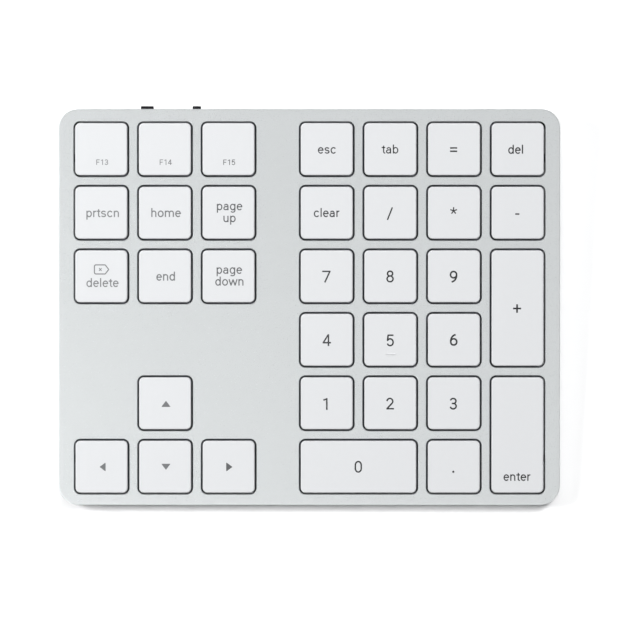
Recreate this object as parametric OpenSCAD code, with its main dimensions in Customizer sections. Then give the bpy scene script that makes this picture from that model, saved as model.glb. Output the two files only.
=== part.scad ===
// Extended numeric keypad: slim wedge-shaped aluminium housing, 34 scissor keys,
// rechargeable wireless board, USB-C inlet, slide power switch and pairing button.
// Row frame: +X right, +Y towards the back edge, +Z up, feet on z = 0,
// origin at the middle of the footprint's bounding box.

/* [Housing] */
// Width of the housing
body_w = 149.8; // [149:0.1:152]
// Depth of the housing's footprint, without the switch knobs
body_d = 118.3; // [118:0.1:120]
// Corner radius of the footprint
corner_r = 5.8; // [4.5:0.1:6.5]
// Slope of the key deck, rising towards the back
tilt = 3; // [2.5:0.1:3.5]
// Height of the deck's front edge above the housing's underside
front_h = 4.4; // [4.4:0.1:5]
// Thickness of the deck
deck_t = 1.2; // [1:0.1:1.3]
// Thickness of the side walls
wall = 1.4; // [1.2:0.1:1.5]
// Thickness of the bottom cover
cover_t = 0.9; // [0.8:0.1:1]

/* [Keys] */
// Distance between key centres
pitch = 19; // [18.9:0.1:19.1]
// Size of a single keycap
cap_w = 15.5; // [15.3:0.1:15.6]
// Gap between a keycap and its opening, all round
cap_gap = 0.55; // [0.45:0.05:0.6]
// Corner radius of a keycap
cap_r = 1.4; // [1:0.1:1.6]
// Height of the keycaps above the deck at rest
cap_up = 1.7; // [1.6:0.1:1.9]
// Travel of a key
travel = 1.6; // [1.4:0.1:1.6]

/* [Feet and knobs] */
// How far the feet stand out of the underside
foot_h = 0.8; // [0.6:0.1:1]
// Diameter of a foot
foot_d = 9; // [8:0.5:10]
// How far the switch knob and the pairing button stand out of the back wall
knob_out = 1.0; // [0.8:0.1:1.2]
// Width of the power switch knob
knob_w = 3.85; // [3.5:0.05:4]
// Travel of the power switch knob
knob_travel = 2; // [1.5:0.1:2]
// Diameter of the pairing button
button_d = 2.6; // [2.4:0.1:2.7]

/* [Hidden] */
$fn = 48;

// ---- key grid, in the deck's own frame: x, y on the deck, z along its normal, 0 on its top face
col = [-62.16, -43.16, -24.16, 5.16, 24.16, 43.16, 62.16];
function row(r) = 47.26 - pitch * r;
// name, x, y, extra width, extra depth
KEYS = [
  ["f13", col[0], row(0), 0, 0], ["f14", col[1], row(0), 0, 0], ["f15", col[2], row(0), 0, 0],
  ["print_screen", col[0], row(1), 0, 0], ["home", col[1], row(1), 0, 0], ["page_up", col[2], row(1), 0, 0],
  ["delete", col[0], row(2), 0, 0], ["end", col[1], row(2), 0, 0], ["page_down", col[2], row(2), 0, 0],
  ["arrow_up", col[1], row(4), 0, 0],
  ["arrow_left", col[0], row(5), 0, 0], ["arrow_down", col[1], row(5), 0, 0], ["arrow_right", col[2], row(5), 0, 0],
  ["escape", col[3], row(0), 0, 0], ["tab", col[4], row(0), 0, 0], ["equals", col[5], row(0), 0, 0], ["del", col[6], row(0), 0, 0],
  ["clear", col[3], row(1), 0, 0], ["divide", col[4], row(1), 0, 0], ["multiply", col[5], row(1), 0, 0], ["minus", col[6], row(1), 0, 0],
  ["7", col[3], row(2), 0, 0], ["8", col[4], row(2), 0, 0], ["9", col[5], row(2), 0, 0],
  ["plus", col[6], row(2.5), 0, pitch],
  ["4", col[3], row(3), 0, 0], ["5", col[4], row(3), 0, 0], ["6", col[5], row(3), 0, 0],
  ["1", col[3], row(4), 0, 0], ["2", col[4], row(4), 0, 0], ["3", col[5], row(4), 0, 0],
  ["enter", col[6], row(4.5), 0, pitch],
  ["0", (col[3] + col[4]) / 2, row(5), pitch, 0],
  ["decimal", col[5], row(5), 0, 0]
];

// ---- levels
body_y = -knob_out / 2;
y_back = body_y + body_d / 2;
y_front = body_y - body_d / 2;
deck_z = foot_h + front_h + body_d / 2 * tan(tilt);
cover_top = foot_h + cover_t;
cap_t = 0.9;             // top wall of a keycap
cap_wall = 1.0;
cap_low = -0.6;          // skirt's lower edge, under the deck's top face
cap_in = cap_up - cap_t; // ceiling inside a keycap
mem_top = -2.5;
mem_t = 0.3;
plate_top = mem_top - mem_t;
plate_t = 0.5;
plate_low = plate_top - plate_t;

// scissor levers
lev_tilt = 12;
lev_t = 0.8;
lev_z = (cap_in + mem_top) / 2;
out_w = 12.4; out_d = 11.4; out_bar = 1.1;
in_w = 9.8; in_d = 10.2; in_bar = 1.0;

// stabiliser wires: bar height and place in a double keycap, and the tips' place
wire_r = 0.4;
bar_y = 6.2;
bar_z = 0.25;
tip_z = -1.95;
leg = 6.5;
leg_tilt = asin((bar_z - tip_z) / leg);
tip_y = bar_y - leg * cos(leg_tilt);
half_bar = 13;

// board and its parts
board_x0 = -56; board_x1 = -4; board_y0 = 34; board_y1 = 55.4;
board_z = 2.3; board_t = 0.8; board_top = board_z + board_t;
port_x = -18; port_w = 8.94; port_h = 3.26; port_len = 7.3;
port_z = board_top + port_h / 2;
knob_x = -48.5; button_x = -33.7; led_x = -41;

cover_screw_at = [[-71.98, 44], [71.98, 44], [-71.98, -46], [71.98, -46], [-9.5, 24], [-9.5, -46]];
plate_screw_at = [[-52.66, 18.76], [-33.66, 37.76], [-9.5, 41], [-9.5, -2], [-9.5, -30], [-52.66, -19.24], [-33.66, -38.24],
  [14.66, 37.76], [52.66, 37.76], [33.66, 18.76], [14.66, -0.24], [33.66, -19.24], [33.66, -38.24]];
board_screw_at = [[-53.6, 36.4], [-27, 36.4], [-6.2, 53.8]];
foot_at = [[-64, 46], [64, 46], [-64, -47.5], [64, -47.5]];

// ---- helpers
module deck_frame() translate([0, body_y, deck_z]) rotate([tilt, 0, 0]) children();
module rounded(w, d, r) {
  square([w - 2 * r, d], center = true);
  square([w, d - 2 * r], center = true);
  for (x = [-1, 1], y = [-1, 1]) translate([x * (w / 2 - r), y * (d / 2 - r)]) circle(r);
}
module slab(w, d, r, z0, z1) translate([0, 0, z0]) linear_extrude(z1 - z0) rounded(w, d, r);
module stadium(w, h) {
  square([w - h, h], center = true);
  for (x = [-1, 1]) translate([x * (w - h) / 2, 0]) circle(h / 2);
}
module along_y(y0, y1) translate([0, y1, 0]) rotate([90, 0, 0]) linear_extrude(y1 - y0) children();
module block(x0, x1, y0, y1, z0, z1) translate([x0, y0, z0]) cube([x1 - x0, y1 - y0, z1 - z0]);

// ---- housing
module top_case() color([0.80, 0.82, 0.82]) {
  difference() {
    union() {
      difference() {
        intersection() {
          translate([0, body_y, foot_h]) linear_extrude(20) rounded(body_w, body_d, corner_r);
          deck_frame() translate([-100, -100, -40]) cube([200, 200, 40]);
        }
        intersection() {
          translate([0, body_y, 0]) linear_extrude(20) rounded(body_w - 2 * wall, body_d - 2 * wall, corner_r - wall);
          deck_frame() translate([-100, -100, -40]) cube([200, 200, 40 - deck_t]);
        }
      }
      // posts for the bottom cover's screws
      intersection() {
        for (p = cover_screw_at) translate([p[0], p[1], cover_top]) cylinder(d = 2.8, h = 15);
        deck_frame() translate([-100, -100, -40]) cube([200, 200, 39.6]);
      }
      // posts for the support plate's screws
      deck_frame() for (p = plate_screw_at) translate([p[0], p[1], plate_top]) cylinder(d = 3, h = -plate_top - 0.4);
    }
    deck_frame() for (k = KEYS) translate([k[1], k[2], 0])
      slab(cap_w + 2 * cap_gap + k[3], cap_w + 2 * cap_gap + k[4], cap_r + cap_gap, -deck_t - 0.3, 1);
    for (p = cover_screw_at) translate([p[0], p[1], cover_top - 1]) cylinder(d = 1.2, h = 3.2);
    deck_frame() for (p = plate_screw_at) translate([p[0], p[1], plate_top - 1]) cylinder(d = 1.1, h = 2.9);
    // inlet, knob slot, button hole and light pipe hole in the back wall
    translate([port_x, 0, port_z]) along_y(y_back - 3, y_back + 1) stadium(port_w + 0.2, port_h + 0.2);
    translate([knob_x + knob_travel / 2, 0, port_z]) along_y(y_back - 3, y_back + 1) rounded(knob_w + knob_travel + 0.3, 2.0, 0.55);
    translate([button_x, 0, port_z]) along_y(y_back - 3, y_back + 1) circle(d = button_d + 0.2);
    translate([led_x, 0, port_z]) along_y(y_back - 3, y_back + 1) circle(d = 1.3);
  }
}

module bottom_cover() color([0.78, 0.80, 0.80]) {
  difference() {
    union() {
      translate([0, body_y, foot_h]) linear_extrude(cover_t) rounded(body_w - 2 * wall - 0.24, body_d - 2 * wall - 0.24, corner_r - wall - 0.12);
      for (p = board_screw_at) translate([p[0], p[1], cover_top - 0.1]) cylinder(d = 3.4, h = board_z - cover_top + 0.1);
      // fence that holds the battery
      difference() {
        block(1.2, 58.8, 15.2, 50.8, cover_top - 0.1, cover_top + 1.4);
        block(1.9, 58.1, 15.9, 50.1, cover_top - 0.2, cover_top + 2);
        block(0, 60, 20, 46.6, cover_top, cover_top + 2);
        block(8, 52, 10, 60, cover_top, cover_top + 2);
      }
    }
    for (p = cover_screw_at) translate([p[0], p[1], 0]) {
      cylinder(d = 1.3, h = 4);
      translate([0, 0, foot_h - 0.01]) cylinder(d1 = 2.46, d2 = 1.3, h = 0.62);
    }
    for (p = board_screw_at) translate([p[0], p[1], foot_h + 0.3]) cylinder(d = 1.1, h = 3);
    for (p = foot_at) translate([p[0], p[1], 0]) cylinder(d = foot_d + 0.1, h = foot_h + 0.3);
  }
}

module cover_screws() color([0.62, 0.63, 0.65])
  for (p = cover_screw_at) translate([p[0], p[1], 0]) difference() {
    union() {
      translate([0, 0, foot_h + 0.03]) cylinder(d1 = 2.3, d2 = 1.14, h = 0.58);
      translate([0, 0, foot_h + 0.3]) cylinder(d = 1.04, h = 2.6);
    }
    for (a = [0, 90]) rotate(a) translate([-0.68, -0.13, foot_h - 0.2]) cube([1.36, 0.26, 0.48]);
  }

module rubber_feet() color([0.16, 0.16, 0.17])
  for (p = foot_at) translate([p[0], p[1], 0]) {
    cylinder(d1 = foot_d - 0.5, d2 = foot_d, h = 0.25);
    translate([0, 0, 0.25]) cylinder(d = foot_d, h = foot_h + 0.3 - 0.25);
  }

// ---- key mechanism
module hook(w, top, reach) { // tab that holds a lever's end bar down, at its local y = 0 side
  block(-w / 2, w / 2, -0.5, -0.16, plate_top - 0.1, top);
  block(-w / 2, w / 2, -0.5, reach, top - 0.3, top);
}
module wire_tab() { // window that a stabiliser tip slides in, its wall normal to x
  difference() {
    block(-0.25, 0.25, -1.6, 1.3, plate_top - 0.1, tip_z + 0.9);
    block(-1, 1, -1.15, 0.85, tip_z - 0.48, tip_z + 0.48);
  }
}
// double keys that run front to back carry the mechanism of the wide one, turned
module key_turn(k) rotate(k[4] > 0 ? 90 : 0) children();

module support_plate() color([0.70, 0.71, 0.73]) deck_frame() {
  difference() {
    union() {
      translate([0, -0.24, plate_low]) linear_extrude(plate_t) rounded(140.6, 111.6, 3);
      for (k = KEYS) translate([k[1], k[2], 0]) key_turn(k) {
        translate([0, -out_d / 2 * cos(lev_tilt), 0]) hook(4.6, -1.12, 0.5);
        translate([0, in_d / 2 * cos(lev_tilt), 0]) rotate(180) hook(4.6, -1.02, 0.4);
        if (k[3] + k[4] > 0) for (s = [-1, 1]) translate([s * (half_bar - 1.0), tip_y, 0]) wire_tab();
      }
    }
    for (p = plate_screw_at) translate([p[0], p[1], plate_low - 1]) cylinder(d = 1.5, h = 3);
    translate([0, -body_y, 0]) for (p = cover_screw_at) translate([p[0], p[1], plate_low - 1]) cylinder(d = 4.4, h = 3);
    translate([-9.5, 36.3, plate_low]) cube([11.4, 1.6, 4], center = true);
  }
}

module membrane_sheet() color([0.10, 0.10, 0.11]) deck_frame() {
  difference() {
    translate([0, -0.24, plate_top]) linear_extrude(mem_t) rounded(139.8, 110.8, 3);
    for (k = KEYS) translate([k[1], k[2], 0]) key_turn(k) {
      translate([0, -out_d / 2 * cos(lev_tilt) - 0.325, plate_top]) cube([5, 0.75, 2], center = true);
      translate([0, in_d / 2 * cos(lev_tilt) + 0.325, plate_top]) cube([5, 0.75, 2], center = true);
      if (k[3] + k[4] > 0) for (s = [-1, 1]) translate([s * (half_bar - 1.0), tip_y - 0.15, plate_top]) cube([0.9, 3.3, 2], center = true);
    }
    for (p = plate_screw_at) translate([p[0], p[1], plate_top - 1]) cylinder(d = 3.4, h = 3);
    translate([0, -body_y, 0]) for (p = cover_screw_at) translate([p[0], p[1], plate_top - 1]) cylinder(d = 4.6, h = 3);
  }
  // tail that drops through the plate to the connector
  block(-14.5, -4.5, 36.15, 36.45, -6.0, plate_top + 0.1);
}

module membrane_connector() color([0.90, 0.88, 0.80]) difference() {
  block(-15.4, -3.6 - 0.6, 34.4, 37.4, board_top, board_top + 1.6);
  block(-14.8, -4.3, 35.3, 36.4, board_top + 0.4, board_top + 3);
}

// x, y of each dome and scissor set
module dome() rotate_extrude() polygon([
  [2.5, 0], [3.4, 0], [3.4, 0.3], [2.9, 0.35], [1.9, 2.5], [1.7, 3.28], [0, 3.28], [0, 1.6], [0.7, 1.6], [0.9, 2.3], [1.5, 2.3], [2.5, 0.3]]);
module rubber_domes() color([0.88, 0.87, 0.83]) deck_frame()
  for (k = KEYS) translate([k[1], k[2], mem_top]) dome();

module outer_frame() difference() {
  cube([out_w, out_d, lev_t], center = true);
  cube([out_w - 2 * out_bar, out_d - 2 * out_bar, 2], center = true);
  rotate([0, 90, 0]) cylinder(d = 0.5, h = 30, center = true);
}
module inner_frame() {
  difference() {
    cube([in_w, in_d, lev_t], center = true);
    cube([in_w - 2 * in_bar, in_d - 2 * in_bar, 2], center = true);
  }
  for (s = [-1, 1]) translate([s * (in_w / 2 + 0.4), 0, 0]) rotate([0, 90, 0]) cylinder(d = 0.4, h = 1.0, center = true);
}
module scissor_outer_frames() color([0.93, 0.93, 0.91]) deck_frame()
  for (k = KEYS) translate([k[1], k[2], lev_z]) key_turn(k) rotate([lev_tilt, 0, 0]) outer_frame();
module scissor_inner_frames() color([0.86, 0.87, 0.86]) deck_frame()
  for (k = KEYS) translate([k[1], k[2], lev_z]) key_turn(k) rotate([-lev_tilt, 0, 0]) inner_frame();

// ---- keycaps
module cap_outline(w, d) intersection() {
  slab(w, d, cap_r, cap_low, cap_up);
  rotate([90, 0, 0]) linear_extrude(100, center = true) polygon([[-w / 2, -5], [w / 2, -5], [w / 2, cap_up - 0.25], [w / 2 - 0.25, cap_up], [-w / 2 + 0.25, cap_up], [-w / 2, cap_up - 0.25]]);
  rotate([90, 0, 90]) linear_extrude(100, center = true) polygon([[-d / 2, -5], [d / 2, -5], [d / 2, cap_up - 0.25], [d / 2 - 0.25, cap_up], [-d / 2 + 0.25, cap_up], [-d / 2, cap_up - 0.25]]);
}
module wire_clip() difference() { // snaps over the stabiliser's bar
  block(-1, 1, bar_y - 0.85, bar_y + 0.8, bar_z - 0.7, cap_in + 0.1);
  translate([0, bar_y, bar_z]) rotate([0, 90, 0]) cylinder(r = wire_r + 0.05, h = 4, center = true);
  block(-2, 2, bar_y - 0.3, bar_y + 0.3, bar_z - 1, bar_z);
}
module keycap(i) {
  k = KEYS[i];
  w = cap_w + k[3]; d = cap_w + k[4];
  color([0.95, 0.95, 0.96]) deck_frame() translate([k[1], k[2], 0]) {
    difference() {
      cap_outline(w, d);
      slab(w - 2 * cap_wall, d - 2 * cap_wall, cap_r - 0.6, cap_low - 1, cap_in);
    }
    // rails that the levers' upper bars run between
    key_turn(k) for (s = [-1, 1]) {
      block(s * 6.5 - 0.15, s * 6.5 + 0.15, -5.2, 5.2, cap_in - 0.4, cap_in + 0.1);
      if (s < 0 || k[3] + k[4] == 0) block(-1.4, 1.4, s * 6.4 - 0.2, s * 6.4 + 0.2, cap_in - 0.4, cap_in + 0.1);
    }
    if (k[3] + k[4] > 0) key_turn(k) for (x = [-9.6, 9.6]) translate([x, 0, 0]) wire_clip();
  }
}

// ---- stabiliser wires, one in each double key
module wire_shape() {
  translate([0, bar_y, bar_z]) {
    rotate([0, 90, 0]) cylinder(r = wire_r, h = 2 * half_bar, center = true);
    for (s = [-1, 1]) translate([s * half_bar, 0, 0]) {
      sphere(1.1 * wire_r);
      rotate([90 + leg_tilt, 0, 0]) cylinder(r = wire_r, h = leg);
    }
  }
  for (s = [-1, 1]) translate([s * half_bar, tip_y, tip_z]) {
    sphere(1.1 * wire_r);
    rotate([0, -90 * s, 0]) cylinder(r = wire_r, h = 1.6);
  }
}
module stabiliser(i) color([0.75, 0.76, 0.78]) deck_frame() translate([KEYS[i][1], KEYS[i][2], 0]) key_turn(KEYS[i]) wire_shape();

// ---- electronics
module circuit_board() color([0.10, 0.30, 0.20]) difference() {
  block(board_x0, board_x1, board_y0, board_y1, board_z, board_top);
  for (p = board_screw_at) translate([p[0], p[1], 0]) cylinder(d = 1.5, h = 9);
}
module board_screws() color([0.62, 0.63, 0.65]) for (p = board_screw_at) translate([p[0], p[1], 0]) {
  translate([0, 0, board_top]) cylinder(d = 2.6, h = 0.6);
  translate([0, 0, foot_h + 0.5]) cylinder(d = 0.98, h = board_top - foot_h - 0.4);
}
module plate_screws() color([0.62, 0.63, 0.65]) deck_frame() for (p = plate_screw_at) translate([p[0], p[1], 0]) {
  translate([0, 0, plate_low - 0.5]) cylinder(d = 2.4, h = 0.5);
  translate([0, 0, plate_low - 0.2]) cylinder(d = 0.98, h = 2.1);
}
module board_chips() {
  color([0.75, 0.76, 0.78]) block(-51, -39, 39.5, 49.5, board_top, board_top + 1.6);   // radio module's can
  color([0.12, 0.12, 0.13]) {
    block(-35.5, -30.5, 40, 45, board_top, board_top + 0.9);    // key controller
    block(-25.5, -22.5, 44, 47, board_top, board_top + 0.8);    // charger
    block(-25.5, -23.3, 39.5, 41.1, board_top, board_top + 0.6);    // crystal
  }
  color([0.95, 0.95, 0.85]) block(led_x - 0.8, led_x + 0.8, 53.0, 54.2, board_top, port_z + 0.6); // status light
  color([0.93, 0.92, 0.88]) block(-9.4, -4.4, 44.6, 49.4, board_top, board_top + 1.9); // battery socket
}
module usb_c_shell() color([0.78, 0.79, 0.80]) translate([port_x, 0, port_z]) difference() {
  along_y(y_back - 0.25 - port_len, y_back - 0.25) stadium(port_w, port_h);
  along_y(y_back - port_len, y_back + 1) stadium(port_w - 0.6, port_h - 0.6);
}
module usb_c_tongue() color([0.10, 0.10, 0.11]) translate([port_x, 0, port_z]) {
  along_y(y_back - port_len + 0.02, y_back - port_len + 2.0) stadium(port_w - 0.66, port_h - 0.66);
  block(-3.33, 3.33, y_back - port_len + 1.9, y_back - 1.2, -0.35, 0.35);
}
module power_switch_body() color([0.20, 0.20, 0.22]) difference() {
  block(knob_x + 1 - 4.6, knob_x + 1 + 4.6, 52.6, y_back - wall - 0.25, board_top, board_top + 3.2);
  block(knob_x - knob_w / 2 - 0.1, knob_x + knob_travel + knob_w / 2 + 0.1, 54.9, 60, port_z - 0.9, port_z + 0.9);
}
module power_switch_knob() color([0.05, 0.05, 0.06])
  translate([knob_x, 0, port_z]) along_y(55.1, y_back + knob_out) rounded(knob_w, 1.6, 0.4);
module pairing_switch_body() color([0.20, 0.20, 0.22])
  block(button_x - 2.4, button_x + 2.4, 52.4, 55.5, board_top, board_top + 3.2);
module pairing_button() color([0.05, 0.05, 0.06]) translate([button_x, 0, port_z]) {
  along_y(56.0, y_back + knob_out) circle(d = button_d);
  along_y(56.3, 57.0) circle(d = 3.4);
}
module status_light_pipe() color([0.92, 0.94, 0.95]) translate([led_x, 0, port_z]) along_y(54.3, y_back) circle(d = 1.2);

module battery_cell() color([0.75, 0.76, 0.78]) {
  translate([30, 33, cover_top + 0.05]) slab(55.6, 33.6, 1.6, 0, 3.2);
}
module battery_lead() {
  color([0.93, 0.92, 0.88]) block(-8.8, -4.0, 45, 49, board_top + 1.95, board_top + 2.9); // plug, on its socket
  for (c = [0, 1]) color(c ? [0.7, 0.1, 0.1] : [0.08, 0.08, 0.08])
    translate([-4.0, 46.2 + 1.6 * c, board_top + 2.42]) rotate([0, 97, 0]) cylinder(d = 0.8, h = 6.18);
}

top_case();
bottom_cover();
support_plate();
membrane_sheet();
membrane_connector();
rubber_domes();
scissor_outer_frames();
scissor_inner_frames();
stabiliser(24);  // stabiliser_wire_plus
stabiliser(31);  // stabiliser_wire_enter
stabiliser(32);  // stabiliser_wire_0
circuit_board();
board_chips();
usb_c_shell();
usb_c_tongue();
power_switch_body();
power_switch_knob();
pairing_switch_body();
pairing_button();
battery_cell();
battery_lead();
status_light_pipe();
rubber_feet();
cover_screws();
plate_screws();
board_screws();
for (i = [0 : len(KEYS) - 1])
  keycap(i);
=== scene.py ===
"""Looks of the extended numeric keypad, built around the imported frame. Lengths in the helpers are millimetres; meshes are metres."""

import math

import bpy
from mathutils import Matrix, Vector
from mathutils.geometry import delaunay_2d_cdt


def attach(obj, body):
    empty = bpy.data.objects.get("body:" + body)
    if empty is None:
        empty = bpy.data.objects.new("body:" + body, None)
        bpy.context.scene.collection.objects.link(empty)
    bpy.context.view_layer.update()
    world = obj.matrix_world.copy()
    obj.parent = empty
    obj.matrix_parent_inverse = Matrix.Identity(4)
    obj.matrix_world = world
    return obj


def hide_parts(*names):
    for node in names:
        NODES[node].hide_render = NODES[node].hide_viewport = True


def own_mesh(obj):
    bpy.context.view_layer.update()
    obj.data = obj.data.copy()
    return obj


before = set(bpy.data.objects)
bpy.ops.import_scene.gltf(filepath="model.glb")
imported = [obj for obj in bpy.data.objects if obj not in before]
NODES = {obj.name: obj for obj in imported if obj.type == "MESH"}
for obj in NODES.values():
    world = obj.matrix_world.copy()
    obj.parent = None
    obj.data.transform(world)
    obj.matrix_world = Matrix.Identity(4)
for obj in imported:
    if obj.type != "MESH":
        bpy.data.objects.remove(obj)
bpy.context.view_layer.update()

# ------------------------------------------------------------------ sizes, as in the construction
TILT = math.radians(3.0)
S3, C3, T3 = math.sin(TILT), math.cos(TILT), math.tan(TILT)
BODY_W, BODY_D, CORNER = 149.8, 118.3, 5.8
WALL, DECK_T, COVER_T, FOOT_H, FRONT_H = 1.4, 1.2, 0.9, 0.8, 4.4
KNOB_OUT = 1.0
BODY_Y = -KNOB_OUT / 2
Y_BACK, Y_FRONT = BODY_Y + BODY_D / 2, BODY_Y - BODY_D / 2
DECK_Z = FOOT_H + FRONT_H + BODY_D / 2 * T3
COVER_TOP = FOOT_H + COVER_T
CAP_W, CAP_GAP, CAP_R, CAP_UP, CAP_LOW = 15.5, 0.55, 1.4, 1.7, -0.6
PITCH = 19.0
COL = [-62.16, -43.16, -24.16, 5.16, 24.16, 43.16, 62.16]


def row(r):
    return 47.26 - PITCH * r


KEYS = [  # name, x, y, extra width, extra depth, column
    ("f13", COL[0], row(0), 0, 0, 0), ("f14", COL[1], row(0), 0, 0, 1), ("f15", COL[2], row(0), 0, 0, 2),
    ("print_screen", COL[0], row(1), 0, 0, 0), ("home", COL[1], row(1), 0, 0, 1), ("page_up", COL[2], row(1), 0, 0, 2),
    ("delete", COL[0], row(2), 0, 0, 0), ("end", COL[1], row(2), 0, 0, 1), ("page_down", COL[2], row(2), 0, 0, 2),
    ("arrow_up", COL[1], row(4), 0, 0, 1),
    ("arrow_left", COL[0], row(5), 0, 0, 0), ("arrow_down", COL[1], row(5), 0, 0, 1), ("arrow_right", COL[2], row(5), 0, 0, 2),
    ("escape", COL[3], row(0), 0, 0, 3), ("tab", COL[4], row(0), 0, 0, 4), ("equals", COL[5], row(0), 0, 0, 5), ("del", COL[6], row(0), 0, 0, 6),
    ("clear", COL[3], row(1), 0, 0, 3), ("divide", COL[4], row(1), 0, 0, 4), ("multiply", COL[5], row(1), 0, 0, 5), ("minus", COL[6], row(1), 0, 0, 6),
    ("7", COL[3], row(2), 0, 0, 3), ("8", COL[4], row(2), 0, 0, 4), ("9", COL[5], row(2), 0, 0, 5),
    ("plus", COL[6], row(2.5), 0, PITCH, 6),
    ("4", COL[3], row(3), 0, 0, 3), ("5", COL[4], row(3), 0, 0, 4), ("6", COL[5], row(3), 0, 0, 5),
    ("1", COL[3], row(4), 0, 0, 3), ("2", COL[4], row(4), 0, 0, 4), ("3", COL[5], row(4), 0, 0, 5),
    ("enter", COL[6], row(4.5), 0, PITCH, 6),
    ("0", (COL[3] + COL[4]) / 2, row(5), PITCH, 0, 4),
    ("decimal", COL[5], row(5), 0, 0, 5),
]
PORT_X, PORT_Z, PORT_W, PORT_H = -18.0, 4.73, 8.94, 3.26
KNOB_X, KNOB_W, KNOB_TRAVEL = -48.5, 3.85, 2.0
BUTTON_X, BUTTON_D, LED_X = -33.7, 2.6, -41.0
COVER_SCREWS = [(-71.98, 44), (71.98, 44), (-71.98, -46), (71.98, -46), (-9.5, 24), (-9.5, -46)]
FEET = [(-64, 46), (64, 46), (-64, -47.5), (64, -47.5)]
FOOT_D = 9.0


def deck(x, y, z=0.0):
    """A point of the sloping deck's own frame, in the row frame."""
    return (x, BODY_Y + y * C3 - z * S3, DECK_Z + y * S3 + z * C3)


def deck_dir(x, y, z):
    return (x, y * C3 - z * S3, y * S3 + z * C3)


UP = deck_dir(0, 0, 1)


def flat(x, y, z=0.0):
    return (x, y, z)


def unit(v):
    n = math.sqrt(v[0] ** 2 + v[1] ** 2 + v[2] ** 2) or 1.0
    return (v[0] / n, v[1] / n, v[2] / n)


# ------------------------------------------------------------------ mesh building
class Shell:
    """Collects faces with a normal at each corner, so that rounded edges run smoothly into truly flat faces."""

    def __init__(self):
        self.points, self.index, self.faces = [], {}, []

    def point(self, p):
        key = (round(p[0] * 1e5), round(p[1] * 1e5), round(p[2] * 1e5))
        if key not in self.index:
            self.index[key] = len(self.points)
            self.points.append((p[0] * 0.001, p[1] * 0.001, p[2] * 0.001))
        return self.index[key]

    def face(self, pts, normals, mat=0):
        if not isinstance(normals, list):
            normals = [normals] * len(pts)
        ids, ns = [], []
        for p, n in zip(pts, normals):
            i = self.point(p)
            if ids and i == ids[-1]:
                continue
            ids.append(i)
            ns.append(unit(n))
        if len(ids) > 1 and ids[0] == ids[-1]:
            ids.pop()
            ns.pop()
        if len(set(ids)) < 3 or len(set(ids)) != len(ids):
            return
        a = [Vector(self.points[i]) for i in ids]
        area = Vector((0, 0, 0))
        for k in range(1, len(a) - 1):
            area += (a[k] - a[0]).cross(a[k + 1] - a[0])
        mean = Vector((0, 0, 0))
        for n in ns:
            mean += Vector(n)
        if area.dot(mean) < 0:
            ids.reverse()
            ns.reverse()
        self.faces.append((ids, ns, mat))

    def band(self, low, high, n_low, n_high, mat=0, closed=True, skip=()):
        """Quads between two rings of the same length, with a normal for each point of each ring."""
        count = len(low)
        for i in range(count if closed else count - 1):
            if i in skip:
                continue
            j = (i + 1) % count
            self.face([low[i], low[j], high[j], high[i]], [n_low[i], n_low[j], n_high[j], n_high[i]], mat)

    def sheet(self, outer, holes, place, normal, mat=0):
        """A flat face with holes, cut into triangles. Loops are in the plane's own x and y; place maps them to the row frame."""
        pts, loops = [], []
        for loop in [outer] + list(holes):
            start = len(pts)
            pts += [Vector((p[0], p[1])) for p in loop]
            loops.append(list(range(start, len(pts))))
        out = delaunay_2d_cdt(pts, [], loops, 0, 1e-6, True)
        for tri, src in zip(out[2], out[5]):
            if list(src) == [0]:
                self.face([place(out[0][i].x, out[0][i].y) for i in tri], normal, mat)

    def object(self, name, *materials):
        mesh = bpy.data.meshes.new(name)
        mesh.from_pydata(self.points, [], [f[0] for f in self.faces])
        for m in materials:
            mesh.materials.append(m)
        for poly, f in zip(mesh.polygons, self.faces):
            poly.use_smooth = any(sum(abs(u - v) for u, v in zip(n, f[1][0])) > 1e-4 for n in f[1])
            poly.material_index = f[2]
        # an edge is hard where the two faces that share it have different normals at its ends
        met, hard = {}, set()
        for ids, ns, _ in self.faces:
            for a in range(len(ids)):
                b = (a + 1) % len(ids)
                i, j, p, q = (ids[a], ids[b], ns[a], ns[b]) if ids[a] < ids[b] else (ids[b], ids[a], ns[b], ns[a])
                if (i, j) not in met:
                    met[i, j] = (p, q)
                elif sum(abs(u - v) for u, v in zip(met[i, j][0], p)) > 0.02 or sum(abs(u - v) for u, v in zip(met[i, j][1], q)) > 0.02:
                    hard.add((i, j))
        for e in mesh.edges:
            if (min(e.vertices), max(e.vertices)) in hard:
                e.use_edge_sharp = True
        mesh.normals_split_custom_set([n for f in self.faces for n in f[1]])
        mesh.update()
        ob = bpy.data.objects.new(name, mesh)
        bpy.context.scene.collection.objects.link(ob)
        return ob


def loop_round(cx, cy, w, d, r, n=12):
    """A rounded rectangle as (x, y, outward x, outward y), anticlockwise."""
    out = []
    for qx, qy, a0 in ((1, 1, 0), (-1, 1, 90), (-1, -1, 180), (1, -1, 270)):
        ox, oy = cx + qx * (w / 2 - r), cy + qy * (d / 2 - r)
        for k in range(n + 1):
            a = math.radians(a0 + 90 * k / n)
            out.append((ox + r * math.cos(a), oy + r * math.sin(a), math.cos(a), math.sin(a)))
    return out


def loop_circle(cx, cy, r, n=48):
    return [(cx + r * math.cos(2 * math.pi * k / n), cy + r * math.sin(2 * math.pi * k / n), math.cos(2 * math.pi * k / n), math.sin(2 * math.pi * k / n)) for k in range(n)]


def loop_stadium(cx, cy, w, h, n=16):
    return loop_round(cx, cy, w, h, h / 2, n)


def moved(loop, t):
    return [(p[0] + p[2] * t, p[1] + p[3] * t) for p in loop]


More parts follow.
